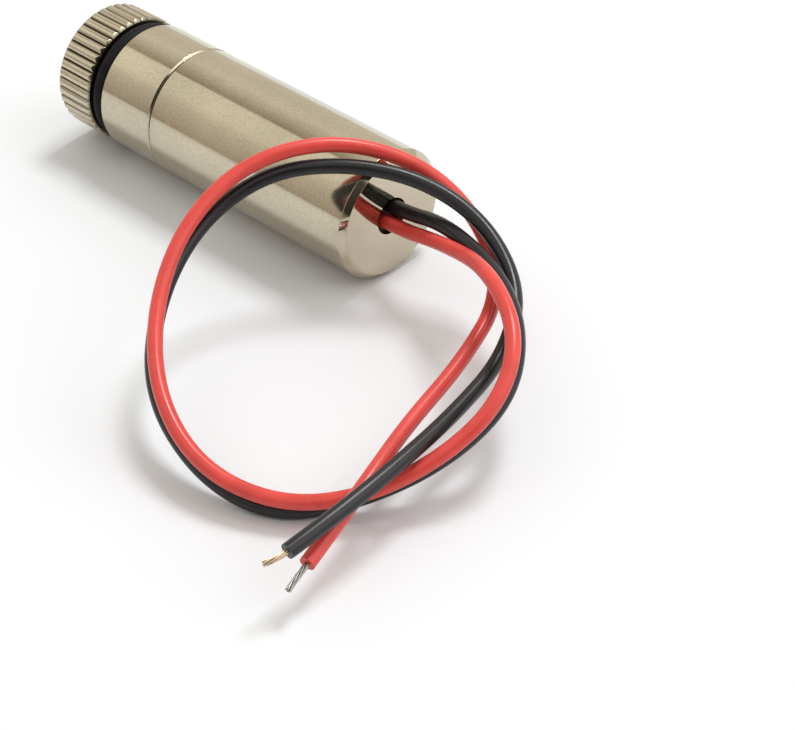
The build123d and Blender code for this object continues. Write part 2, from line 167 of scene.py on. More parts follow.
class BarrelSettings(bpy.types.PropertyGroup):
    """The two turned sections of the barrel and their plating"""

    cable_hole: length("Cable Hole", "Diameter of the hole in the rear face", 3.4 * MM)
    shell_wall: length("Shell Wall", "Wall of the rear section", 1.0 * MM)
    end_wall: length("End Wall", "Thickness of the rear face", 1.5 * MM)
    spigot_clearance: length("Spigot Clearance", "Room round the front section's spigot", 0.02 * MM)
    clamp_bore: length("Clamp Bore", "Diameter of the bore for the diode's clamp ring", 8.0 * MM)
    stem_bore: length("Stem Bore", "Diameter of the diode's seat", 5.62 * MM)
    can_hole: length("Can Hole", "Diameter of the passage for the diode's can", 4.4 * MM)
    thread_wall: length("Thread Wall", "Wall round the focusing thread", 1.5 * MM)
    thread_depth: length("Thread Depth", "Depth of the focusing thread from the front", 6.0 * MM)
    mouth_chamfer: length("Mouth Chamfer", "Chamfer where the thread starts", 0.3 * MM)
    rear_chamfer: length("Rear Chamfer", "Width of the chamfer round the rear face", 0.5 * MM)
    seam_chamfer: length("Seam Chamfer", "Chamfer on each side of the seam", 0.16 * MM)
    seam_slit: length("Seam Slit", "Half the width of the slit that is left at the seam", 0.05 * MM)
    seam_depth: length("Seam Depth", "Depth of the slit at the seam", 0.4 * MM)
    front_chamfer: length("Front Chamfer", "Chamfer round the front face", 0.2 * MM)
    edge_round: length("Edge Rounding", "Rounding left by polishing on turned edges", 0.024 * MM)
    plating: colour("Plating", "Colour of the plating on the barrel and the cap", (0.535, 0.478, 0.364))
    wall_roughness: share("Wall Roughness", "Roughness of the turned wall", 0.09)
    face_roughness: share("Face Roughness", "Roughness of the faced ends", 0.07)


class FocusSettings(bpy.types.PropertyGroup):
    """The knurled focusing cap, its O-ring and its lens"""

    ridges: IntProperty(name="Ridges", description="Ridges round the knurled rim", default=40, min=3)
    ridge_width: length("Ridge Width", "Diameter of the rounding of a ridge", 1.0 * MM)
    ridge_height: length("Ridge Height", "Greatest height of a ridge over the core", 0.4 * MM)
    rim_chamfer: length("Rim Chamfer", "Chamfer round the cap's front", 0.3 * MM)
    rear_chamfer: length("Rear Chamfer", "Chamfer at the back of the knurl", 0.25 * MM)
    thread_clearance: length("Thread Clearance", "Room between the neck and the barrel's thread", 0.05 * MM)
    thread_pitch: length("Thread Pitch", "Travel of the cap in one turn", 0.5 * MM)
    thread_depth: length("Thread Depth", "Depth of the thread on the neck", 0.25 * MM)
    thread_margin: length("Thread Margin", "Plain part at both ends of the thread", 0.15 * MM)
    groove_radius: length("Groove Radius", "Radius of the groove under the O-ring", 4.07 * MM)
    lens_bore: length("Lens Bore", "Radius of the bore for the lens", 3.52 * MM)
    aperture: length("Aperture", "Radius of the aperture", 2.8 * MM)
    aperture_mouth: length("Aperture Mouth", "Radius of the countersink's mouth", 4.2 * MM)
    aperture_wall: length("Aperture Wall", "Thickness of the cap in front of the lens", 2.5 * MM)
    aperture_land: length("Aperture Land", "Straight part of the aperture", 1.1 * MM)
    flash_height: length("Flash", "Height of the moulding line round the O-ring", 0.012 * MM)
    rubber: colour("Rubber", "Colour of the O-ring", (0.007, 0.007, 0.008))


class LeadSettings(bpy.types.PropertyGroup):
    """The two insulated leads and their strands"""

    diameter: length("Diameter", "Diameter of the insulation", 1.3 * MM)
    red_length: length("Red Length", "Length of the red lead", 153.4 * MM)
    black_length: length("Black Length", "Length of the black lead", 152.8 * MM)
    strand: length("Strand", "Diameter of one strand", 0.16 * MM)
    lay: length("Lay", "Length in which the strands turn once", 5.5 * MM)
    red_bare: length("Red Bare End", "Stripped length of the red lead's free end", 2.7 * MM)
    black_bare: length("Black Bare End", "Stripped length of the black lead's free end", 2.0 * MM)
    red_splay: length("Red Splay", "How far the red lead's strands part at the tip", 0.03 * MM)
    black_splay: length("Black Splay", "How far the black lead's strands part at the tip", 0.07 * MM)
    black_bend: length("Black Bend", "How far the black lead's strands bend aside", 0.45 * MM)
    red: colour("Red", "Colour of the red insulation", (0.66, 0.062, 0.052))
    black: colour("Black", "Colour of the black insulation", (0.010, 0.010, 0.013))
    tinned: colour("Tinned", "Colour of tinned strands", (0.36, 0.345, 0.33))
    copper: colour("Copper", "Colour of strands where the tin is thin", (0.74, 0.58, 0.42))


class StageSettings(bpy.types.PropertyGroup):
    """The floor, the light and the camera"""

    floor_size: length("Floor", "Side of the floor", 6.0)
    floor: colour("Floor Colour", "Colour of the floor", (0.760, 0.788, 0.838))
    sky: colour("Sky", "Colour of the studio's ceiling and walls", (1.0, 0.965, 0.87))
    sky_strength: brightness("Sky Strength", "Brightness of the studio", 1.07)
    dusk: colour("Dusk", "Colour of the studio where the panels leave it dark", (0.45, 0.385, 0.32))
    window: brightness("Window", "Brightness of the window", 1.15)
    camera_shade: share("Camera Shade", "Brightness left where the camera and its stand are", 0.08)
    key_power: FloatProperty(name="Key", description="Power of the key light", default=1.8, unit="POWER")
    key_size: length("Key Size", "Side of the key light", 0.16)
    key_distance: length("Key Distance", "Distance of the key light", 0.6)
    key_elevation: rotation("Key Elevation", "Height of the key light over the floor", 64)
    camera_place: FloatVectorProperty(
        name="Camera", description="Place of the camera",
        default=(-0.14104, 0.12096, 0.12537), subtype="XYZ", unit="LENGTH", size=3, precision=5
    )
    camera_pan: rotation("Pan", "Turn of the camera about the vertical", -133.91)
    camera_tilt: rotation("Tilt", "How far the camera looks down", 39.14)
    camera_roll: rotation("Roll", "Turn of the camera about its own axis", -3.0)
    lens: FloatProperty(name="Lens", description="Focal length in millimetres", default=113.54, min=1.0)


def node(material, kind, inputs, **settings):
    """Adds a shader node. Each input is a plain value or another node's output."""
    tree = material.node_tree
    made = tree.nodes.new(kind)
    for name, value in settings.items():
        setattr(made, name, value)
    for name, value in inputs.items():
        if isinstance(value, bpy.types.NodeSocket):
            tree.links.new(value, made.inputs[name])
        else:
            made.inputs[name].default_value = value
    return made


def calculated(material, operation, *values):
    """The result of a sum on plain values and other nodes' outputs."""
    made = node(material, "ShaderNodeMath", dict(enumerate(values)), operation=operation)
    return made.outputs["Value"]


def blended(material, factor, first, second, blend="MIX"):
    """The colour that two colours give together."""
    made = node(
        material, "ShaderNodeMix", {"Factor": factor, 6: first, 7: second},
        data_type="RGBA", blend_type=blend
    )
    return made.outputs[2]


def new_finish(name, base, **sockets):
    """A material with its even values set on the shader's own sockets."""
    material = bpy.data.materials.new(name)
    material.use_nodes = True
    shader = material.node_tree.nodes["Principled BSDF"]
    shader.inputs["Base Color"].default_value = (*base, 1.0)
    for socket, value in sockets.items():
        shader.inputs[socket.replace("_", " ")].default_value = value
    return material, shader


def feed(material, shader, socket, output):
    material.node_tree.links.new(output, shader.inputs[socket])


def object_place(material):
    return node(material, "ShaderNodeTexCoord", {}).outputs["Object"]


def noise(material, place, scale, detail=3.0):
    made = node(material, "ShaderNodeTexNoise", {"Vector": place, "Scale": scale, "Detail": detail})
    return made.outputs["Fac"]


def spread(material, value, low, high, source=(0.3, 0.7)):
    """Maps a texture's middle range to the given low and high."""
    made = node(material, "ShaderNodeMapRange", {
        "Value": value, "From Min": source[0], "From Max": source[1], "To Min": low, "To Max": high,
    })
    return made.outputs["Result"]


def two_tone(material, factor, first, second):
    made = node(material, "ShaderNodeValToRGB", {"Fac": factor})
    made.color_ramp.elements[0].color = (*first, 1.0)
    made.color_ramp.elements[1].color = (*second, 1.0)
    return made.outputs["Color"]


def scaled(tone, factor):
    return tuple(min(1.0, part * factor) for part in tone)


def add_bump(material, shader, height, depth):
    made = node(material, "ShaderNodeBump", {"Height": height, "Distance": depth, "Strength": 1.0})
    feed(material, shader, "Normal", made.outputs["Normal"])


def axis_radius(material, place):
    """Place along the optical axis and distance from it."""
    parts = node(material, "ShaderNodeSeparateXYZ", {"Vector": place})
    across = node(material, "ShaderNodeCombineXYZ", {"Y": parts.outputs["Y"], "Z": parts.outputs["Z"]})
    radius = node(material, "ShaderNodeVectorMath", {0: across.outputs["Vector"]}, operation="LENGTH")
    return parts.outputs["X"], radius.outputs["Value"]


def turned_metal(name, tone, wall_roughness, face_roughness, mark_depth, groove=None):
    """Turned metal: rings left by the tool, a satin grain, faint smudges and smoother faced ends.

    A groove is the radius and the height of ridges whose foot is painted darker: painted shade between the
    ridges.
    """
    material, shader = new_finish(name, tone, Metallic=1.0, Anisotropic=0.5, Anisotropic_Rotation=0.25)
    place = object_place(material)
    along, radius = axis_radius(material, place)
    path = calculated(material, "ADD", along, radius)
    rings = node(
        material, "ShaderNodeTexNoise", {"W": path, "Scale": TOOL_RINGS, "Detail": 3.0},
        noise_dimensions="1D"
    ).outputs["Fac"]
    grain = noise(material, place, FINE_GRAIN, 2.0)
    smudge = noise(material, place, SMUDGES, 4.0)
    satin = spread(material, noise(material, place, SATIN_GRAIN), -0.32, 0.32)
    tangent = node(material, "ShaderNodeTangent", {}, direction_type="RADIAL", axis="X")
    feed(material, shader, "Tangent", tangent.outputs["Tangent"])

    normal = node(material, "ShaderNodeNewGeometry", {}).outputs["Normal"]
    facing = node(material, "ShaderNodeSeparateXYZ", {"Vector": normal}).outputs["X"]
    faced = calculated(material, "ABSOLUTE", facing)
    base_roughness = spread(material, faced, wall_roughness, face_roughness, WALL_TO_FACE)
    blotch = spread(material, smudge, -0.03, 0.03)
    feed(material, shader, "Roughness", calculated(material, "ADD", base_roughness, blotch))

    wall = spread(material, faced, 1.0, 0.0, WALL_TO_FACE)
    specks = calculated(material, "MULTIPLY", satin, wall)
    stain = spread(material, smudge, -0.2, 0.2)
    patches = spread(material, calculated(material, "ADD", specks, stain), 0.0, 1.0, (-0.5, 0.5))
    toned = two_tone(material, patches, scaled(tone, 0.82), scaled(tone, 1.18))
    if groove:
        foot, height = groove
        rise = calculated(material, "SUBTRACT", radius, foot)
        away = calculated(material, "ABSOLUTE", rise)
        clear = spread(material, away, 0.0, 1.0, (0.4 * height, 0.85 * height))
        face = calculated(material, "SUBTRACT", 1.0, wall)
        unshaded = calculated(material, "MAXIMUM", clear, face)
        # Painted shade: the foot of each ridge is darkened towards a very dark tone of the plating, where
        # shade falls between the ridges.
        groove_shade = (*scaled(tone, 0.16), 1.0)
        toned = blended(material, unshaded, groove_shade, toned)
    feed(material, shader, "Base Color", toned)
    add_bump(material, shader, calculated(material, "ADD", rings, grain), mark_depth)
    return material


def plated_wall(barrel):
    return turned_metal(
        "plated_brass", barrel.plating, barrel.wall_roughness, barrel.face_roughness,
        mark_depth=0.00035 * MM
    )


def plated_knurl(barrel, focus):
    # The foot of the ridges gets painted shade in the plating.
    groove = (BARREL_R - focus.ridge_height, focus.ridge_height)
    return turned_metal(
        "plated_knurl", barrel.plating, barrel.wall_roughness, barrel.wall_roughness,
        mark_depth=0.0005 * MM, groove=groove
    )


def bare_brass():
    return turned_metal(
        "bare_brass", (0.72, 0.52, 0.22), wall_roughness=0.26, face_roughness=0.2, mark_depth=0.001 * MM
    )


def gold_plate():
    return turned_metal(
        "gold_plate", (0.83, 0.61, 0.24), wall_roughness=0.22, face_roughness=0.18, mark_depth=0.0006 * MM
    )


def nickel_cap():
    return turned_metal(
        "nickel_cap", (0.62, 0.60, 0.56), wall_roughness=0.2, face_roughness=0.16, mark_depth=0.0004 * MM
    )


def mottled(name, tones, roughness, scale, bump, **sockets):
    """A finish with two close tones, uneven gloss and a fine relief, all from one scale per metre."""
    material, shader = new_finish(name, tones[0], **sockets)
    place = object_place(material)
    coarse = noise(material, place, scale, 4.0)
    fine = noise(material, place, scale * 6, 2.0)
    feed(material, shader, "Base Color", two_tone(material, spread(material, coarse, 0.0, 1.0), *tones))
    feed(material, shader, "Roughness", spread(material, fine, *roughness))
    add_bump(material, shader, fine, bump)
    return material


def insulation(name, tone):
    """Extruded vinyl: slightly uneven along its length, with a soft gloss."""
    material, shader = new_finish(name, tone, Specular_IOR_Level=0.4)
    place = object_place(material)
    ripple = noise(material, place, VINYL_RIPPLE)
    grain = noise(material, place, VINYL_GRAIN, 2.0)
    feed(material, shader, "Base Color", two_tone(
        material, spread(material, ripple, 0.0, 1.0), scaled(tone, 0.9), scaled(tone, 1.08)
    ))
    feed(material, shader, "Roughness", spread(material, ripple, 0.24, 0.36))
    add_bump(material, shader, calculated(material, "ADD", ripple, grain), 0.006 * MM)
    return material


def o_ring_rubber(tone):
    return mottled(
        "rubber_black", tones=(tone, scaled(tone, 1.7)),
        roughness=(0.5, 0.66), scale=900.0, bump=0.003 * MM, Specular_IOR_Level=0.12
    )


def strand_metal(name, tone):
    return mottled(
        name, tones=(scaled(tone, 0.8), scaled(tone, 1.1)),
        roughness=(0.22, 0.4), scale=1500.0, bump=0.004 * MM, Metallic=1.0
    )


def spring_wire():
    return mottled(
        "spring_steel", tones=((0.50, 0.50, 0.50), (0.60, 0.60, 0.59)),
        roughness=(0.2, 0.3), scale=1200.0, bump=0.001 * MM, Metallic=1.0
    )


def clear_optic(name, tone, ior):
    """Moulded or ground glass with a barely uneven polish."""
    material, shader = new_finish(name, tone, Transmission_Weight=1.0, IOR=ior)
    place = object_place(material)
    feed(material, shader, "Roughness", spread(material, noise(material, place, OPTIC_HAZE), 0.0, 0.03))
    return material


def lens_clear():
    return clear_optic("lens_clear", (0.97, 0.985, 0.99), ior=1.49)


def window_glass():
    return clear_optic("window_glass", (0.95, 0.98, 0.98), ior=1.52)


def bead_glass():
    return mottled(
        "bead_glass", tones=((0.03, 0.05, 0.045), (0.05, 0.08, 0.07)),
        roughness=(0.08, 0.16), scale=2500.0, bump=0.001 * MM
    )


def chip_crystal():
    return mottled(
        "chip_crystal", tones=((0.10, 0.10, 0.12), (0.15, 0.15, 0.18)),
        roughness=(0.1, 0.2), scale=4000.0, bump=0.0005 * MM, Metallic=0.6
    )


def sleeve_film():
    return mottled(
        "sleeve_film", tones=((0.012, 0.012, 0.012), (0.02, 0.02, 0.02)),
        roughness=(0.4, 0.55), scale=500.0, bump=0.004 * MM
    )


def board_laminate():
    return mottled(
        "board_laminate", tones=((0.012, 0.085, 0.030), (0.020, 0.125, 0.045)),
        roughness=(0.3, 0.42), scale=1100.0, bump=0.003 * MM
    )


def mould_black():
    return mottled(
        "mould_black", tones=((0.016, 0.016, 0.017), (0.028, 0.028, 0.03)),
        roughness=(0.5, 0.65), scale=3000.0, bump=0.004 * MM
    )


def trimmer_body():
    return mottled(
        "trimmer_body", tones=((0.55, 0.54, 0.49), (0.64, 0.63, 0.58)),
        roughness=(0.4, 0.55), scale=1500.0, bump=0.003 * MM
    )


def capacitor_body():
    return mottled(
        "capacitor_body", tones=((0.33, 0.20, 0.09), (0.42, 0.27, 0.13)),
        roughness=(0.35, 0.5), scale=2500.0, bump=0.003 * MM
    )


def resistor_body():
    return mottled(
        "resistor_body", tones=((0.012, 0.012, 0.014), (0.022, 0.022, 0.025)),
        roughness=(0.25, 0.4), scale=2500.0, bump=0.002 * MM
    )


def solder():
    return mottled(
        "solder", tones=((0.48, 0.48, 0.49), (0.58, 0.58, 0.58)),
        roughness=(0.18, 0.36), scale=2000.0, bump=0.004 * MM, Metallic=1.0
    )


def potting():
    return mottled(
        "potting", tones=((0.010, 0.010, 0.011), (0.018, 0.018, 0.02)),
        roughness=(0.3, 0.5), scale=900.0, bump=0.01 * MM
    )


def seamless_paper(tone):
    """Matt white paper for the floor."""
    material, shader = new_finish("floor_paper", tone, Roughness=0.95, Specular_IOR_Level=0.15)
    place = object_place(material)
    feed(material, shader, "Base Color", two_tone(
        material, spread(material, noise(material, place, PAPER_MOTTLE), 0.0, 1.0), scaled(tone, 0.99), tone
    ))
    return material


def add_object(name, data, material, body):
    """Puts a piece into the scene, with its material and on its body."""
    piece = bpy.data.objects.new(name, data)
    bpy.context.collection.objects.link(piece)
    data.materials.append(material)
    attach(piece, body)
    return piece


def soften_edges(piece, width):
    """Small roundings on the turned edges, with the flat faces kept flat."""
    bevel = piece.modifiers.new("edge_round", "BEVEL")
    bevel.width = width
    bevel.segments = EDGE_SEGMENTS
    bevel.limit_method = "ANGLE"
    bevel.angle_limit = ROUNDED_ANGLE
    piece.modifiers.new("even_normals", "WEIGHTED_NORMAL")


def round_loop(shape, x, radii):
    """Corners round the optical axis at one station, evenly spaced, with a radius for each."""
    loop = []
    for step, radius in enumerate(radii):
        angle = 2 * math.pi * step / len(radii)
        loop.append(shape.verts.new((x, radius * math.cos(angle), radius * math.sin(angle))))
    return loop


def loft(shape, near, far):
    """Faces between two loops that have the same number of corners."""
    count = len(near)
    for step in range(count):
        after = (step + 1) % count
        shape.faces.new((near[step], near[after], far[after], far[step]))


def turned_mesh(name, profile):
    """A closed ring of (x, radius) corners turned about the optical axis."""
    shape = bmesh.new()
    loops = [round_loop(shape, x, [radius] * TURNED_STEPS) for x, radius in profile]
    for near, far in zip(loops, loops[1:] + loops[:1]):
        loft(shape, near, far)
    return finished_mesh(name, shape)


def finished_mesh(name, shape):
    bmesh.ops.remove_doubles(shape, verts=shape.verts, dist=MERGE_DISTANCE)
    bmesh.ops.recalc_face_normals(shape, faces=shape.faces)
    mesh = bpy.data.meshes.new(name)
    shape.to_mesh(mesh)
    shape.free()
    mesh.shade_smooth()
    return mesh


def rear_profile(barrel):
    hole = barrel.cable_hole / 2
    cavity = BARREL_R - barrel.shell_wall
    return [
        (REAR_X, hole),
        (REAR_X, BARREL_R - barrel.rear_chamfer),
        (REAR_X + barrel.rear_chamfer, BARREL_R),
        (SEAM_X - barrel.seam_slit - barrel.seam_chamfer, BARREL_R),
        (SEAM_X - barrel.seam_slit, BARREL_R - barrel.seam_chamfer),
        (SEAM_X - barrel.seam_slit, BARREL_R - barrel.seam_depth),
        (SEAM_X, BARREL_R - barrel.seam_depth),
        (SEAM_X, cavity),
        (REAR_X + barrel.end_wall, cavity),
        (REAR_X + barrel.end_wall, hole),
    ]


def front_profile(barrel):
    spigot = BARREL_R - barrel.shell_wall - barrel.spigot_clearance
    thread = BARREL_R - barrel.thread_wall
    seat = FRONT_X - barrel.thread_depth
    stem_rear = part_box("clamp_ring")[1].x
    stem_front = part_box("diode_can")[0].x
    return [
        (SPIGOT_X, barrel.clamp_bore / 2),
        (SPIGOT_X, spigot),
        (SEAM_X, spigot),
        (SEAM_X, BARREL_R - barrel.seam_depth),
        (SEAM_X + barrel.seam_slit, BARREL_R - barrel.seam_depth),
        (SEAM_X + barrel.seam_slit, BARREL_R - barrel.seam_chamfer),
        (SEAM_X + barrel.seam_slit + barrel.seam_chamfer, BARREL_R),
        (FRONT_X - barrel.front_chamfer, BARREL_R),
        (FRONT_X, BARREL_R - barrel.front_chamfer),
        (FRONT_X, thread + barrel.mouth_chamfer),
        (FRONT_X - barrel.mouth_chamfer, thread),
        (seat, thread),
        (seat, barrel.can_hole / 2),
        (stem_front, barrel.can_hole / 2),
        (stem_front, barrel.stem_bore / 2),
        (stem_rear, barrel.stem_bore / 2),
        (stem_rear, barrel.clamp_bore / 2),
    ]


def knurl_radius(angle, focus):
    """Radius of the knurled outline: rounded ridges on a core."""
    pitch = 2 * math.pi / focus.ridges
    aside = (angle + pitch / 2) % pitch - pitch / 2
    ridge = focus.ridge_width / 2
    centre = BARREL_R - ridge
    core = BARREL_R - focus.ridge_height
    reach = ridge ** 2 - (centre * math.sin(aside)) ** 2
    if reach < 0:
        return core
    return max(core, centre * math.cos(aside) + math.sqrt(reach))


def cap_rows(focus, barrel):
    """Rows of (x, radius, form) round the cap's section.

    The radius of a row with ridges is its upper limit. A thread runs from its row to the next one.
    """
    neck = BARREL_R - barrel.thread_wall - focus.thread_clearance
    seat = CAP_FRONT_X - focus.aperture_wall
    rows = [
        (NECK_X, focus.lens_bore, "plain"),
        (NECK_X, neck, "thread"),
        (FRONT_X, neck, "plain"),
        (FRONT_X, focus.groove_radius, "plain"),
        (CAP_REAR_X, focus.groove_radius, "plain"),
    ]
    for step in range(CHAMFER_STEPS + 1):
        cut = focus.rear_chamfer * step / CHAMFER_STEPS
        rows.append((CAP_REAR_X + cut, BARREL_R - focus.rear_chamfer + cut, "ridges"))
    for step in range(CHAMFER_STEPS + 1):
        cut = focus.rim_chamfer * step / CHAMFER_STEPS
        rows.append((CAP_FRONT_X - focus.rim_chamfer + cut, BARREL_R - cut, "ridges"))
    return rows + [
        (CAP_FRONT_X, focus.aperture_mouth, "plain"),
        (seat + focus.aperture_land, focus.aperture, "plain"),
        (seat, focus.aperture, "plain"),
        (seat, focus.lens_bore, "plain"),
    ]


def fan(shape, hub, rim):
    for first, second in zip(rim, rim[1:]):
        shape.faces.new((hub, first, second))


def cut_thread(shape, rear, front, neck, focus):
    """Winds a V groove, which fades in at both ends, round the neck between two loops."""
    count = len(rear)
    start = rear[0].co.x + focus.thread_margin
    turns = int((front[0].co.x - focus.thread_margin - start) / focus.thread_pitch)
    last = (turns - 1) * count

    def corner(step, shift, depth):
        angle = 2 * math.pi * step / count
        x = start + focus.thread_pitch * (step / count + shift)
        return shape.verts.new((x, (neck - depth) * math.cos(angle), (neck - depth) * math.sin(angle)))

    crest = [corner(step, 0.0, 0.0) for step in range(last + count + 1)]
    root = []
    for step in range(last + 1):
        fade = min(1.0, 2 * step / count, 2 * (last - step) / count)
        root.append(corner(step, 0.5, focus.thread_depth * fade))
    for step in range(last):
        shape.faces.new((crest[step], crest[step + 1], root[step + 1], root[step]))
        shape.faces.new((root[step], root[step + 1], crest[step + 1 + count], crest[step + count]))
    for step in range(count - 1):
        shape.faces.new((rear[step], rear[step + 1], crest[step + 1], crest[step]))
    fan(shape, crest[count - 1], [rear[-1], rear[0], crest[0], root[0], crest[count]])
    for step in range(1, count):
        after = (step + 1) % count
        shape.faces.new((crest[last + step], crest[last + step + 1], front[after], front[step]))
    fan(shape, crest[last + 1], [front[1], front[0], crest[last + count], root[last], crest[last]])


def knurled_mesh(name, rows, focus):
    """Lofts the cap's rows round the axis, with its ridges and its thread."""
    shape = bmesh.new()
    count = focus.ridges * STEPS_PER_RIDGE
    outline = [knurl_radius(2 * math.pi * step / count, focus) for step in range(count)]
    loops = []
    for x, limit, form in rows:
        radii = [min(limit, radius) for radius in outline] if form == "ridges" else [limit] * count
        loops.append(round_loop(shape, x, radii))
    for row, near, far in zip(rows, loops, loops[1:] + loops[:1]):
        if row[2] == "thread":
            cut_thread(shape, near, far, row[1], focus)
        else:
            loft(shape, near, far)
    mesh = finished_mesh(name, shape)
    mesh.set_sharp_from_angle(angle=KNURL_ANGLE)
    return mesh


def ring_profile(focus):
    """Section of the O-ring, with the line that its mould leaves round the outside and the inside."""
    middle_x = (RING_LOW.x + RING_HIGH.x) / 2
    cord = (RING_HIGH.x - RING_LOW.x) / 2
    middle_r = RING_HIGH.z - cord
    section = []
    for step in range(RING_STEPS):
        angle = 2 * math.pi * step / RING_STEPS
        flash = focus.flash_height if step in (0, RING_STEPS // 2) else 0.0
        radius = cord - focus.flash_height + flash
        section.append((middle_x + radius * math.sin(angle), middle_r + radius * math.cos(angle)))
    return section


def route_places(route):
    return [Vector((REAR_X + x * MM, y * MM, z * MM)) for x, y, z in route]


def new_line(name, thickness, roundness):
    """An empty line with a round section."""
    line = bpy.data.curves.new(name, "CURVE")
    line.dimensions = "3D"
    line.bevel_depth = thickness / 2
    line.bevel_resolution = roundness
    line.use_fill_caps = True
    return line


def nurbs_line(name, places, thickness=0.0):
    """A smooth open line with the given control points, as thick as asked."""
    line = new_line(name, thickness, LEAD_ROUNDNESS)
    line.resolution_u = LINE_STEPS
    spline = line.splines.new("NURBS")
    spline.points.add(len(places) - 1)
    for point, place in zip(spline.points, places):
        point.co = (*place, 1.0)
    spline.order_u = 3
    spline.use_endpoint_u = True
    return line


def line_points(places):
    """Points along the smooth line of the given control points."""
    carrier = bpy.data.objects.new("line", nurbs_line("line", places))
    mesh = bpy.data.meshes.new_from_object(carrier)
    points = [vertex.co.copy() for vertex in mesh.vertices]
    line = carrier.data
    bpy.data.objects.remove(carrier)
    bpy.data.curves.remove(line)
    bpy.data.meshes.remove(mesh)
    return points


def strand_points(centre, place, lay, splay):
    """One strand of a bundle: it winds round the centre line and parts from it towards the end."""
    points = []
    travelled = 0.0
    total = sum((b - a).length for a, b in zip(centre, centre[1:]))
    for index, point in enumerate(centre):
        before = centre[max(index - 1, 0)]
        after = centre[min(index + 1, len(centre) - 1)]
        if index:
            travelled += (point - before).length
        forward = (after - before).normalized()
        side = forward.cross(Vector((0, 0, 1))).normalized()
        up = side.cross(forward)
        turn = place.angle + 2 * math.pi * travelled / lay
        out = place.radius + splay * place.reach * (travelled / total) ** 2
        points.append(point + out * (math.cos(turn) * side + math.sin(turn) * up))
    return points


class StrandPlace:
    """Where a strand lies in its bundle: one of those round the middle, or the last one, in the middle.

    The reach is the strand's share of the splay, and no two have the same.
    """

    def __init__(self, index, radius):
        self.angle = 2 * math.pi * index / STRANDS_AROUND
        self.radius = 0.0 if index == STRANDS_AROUND else radius
        self.reach = 0.6 + 0.4 * math.cos(2.4 * index)


def add_strands(line, centre, settings, splay):
    """The strands along a centre line: one in the middle and the others round it."""
    for index in range(STRANDS_AROUND + 1):
        place = StrandPlace(index, settings.strand)
        points = strand_points(centre, place, settings.lay, splay)
        spline = line.splines.new("POLY")
        spline.points.add(len(points) - 1)
        for point, where in zip(spline.points, points):
            point.co = (*where, 1.0)


def bare_strands(name, route, seat, settings, stripped):
    """The strands of one lead where they are bare: at the driver board, and at the stripped end.

    The stripped end is given by its length, how far its strands part and how far they bend aside.
    """
    bare, splay, bend = stripped
    line = new_line(name, settings.strand, STRAND_ROUNDNESS)
    start = route_places(route)[0]
    heights = (start.z, start.z, seat, seat)
    inside = [Vector((start.x + step, start.y, height)) for step, height in zip(CORE_STEPS, heights)]
    add_strands(line, line_points(inside), settings, 0.0)

    end = line_points(route_places(route))[-2:]
    forward = (end[1] - end[0]).normalized()
    aside = forward.cross(Vector((0, 0, 1))).normalized()
    tip = [
        end[1],
        end[1] + forward * bare * 0.5,
        end[1] + forward * bare + aside * bend,
    ]
    add_strands(line, line_points(tip), settings, splay)
    return line


def dress(node_name, material):
    """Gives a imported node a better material."""
    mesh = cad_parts[node_name].data
    mesh.materials.clear()
    mesh.materials.append(material)
    mesh.shade_smooth()
    mesh.set_sharp_from_angle(angle=SHARP_ANGLE)


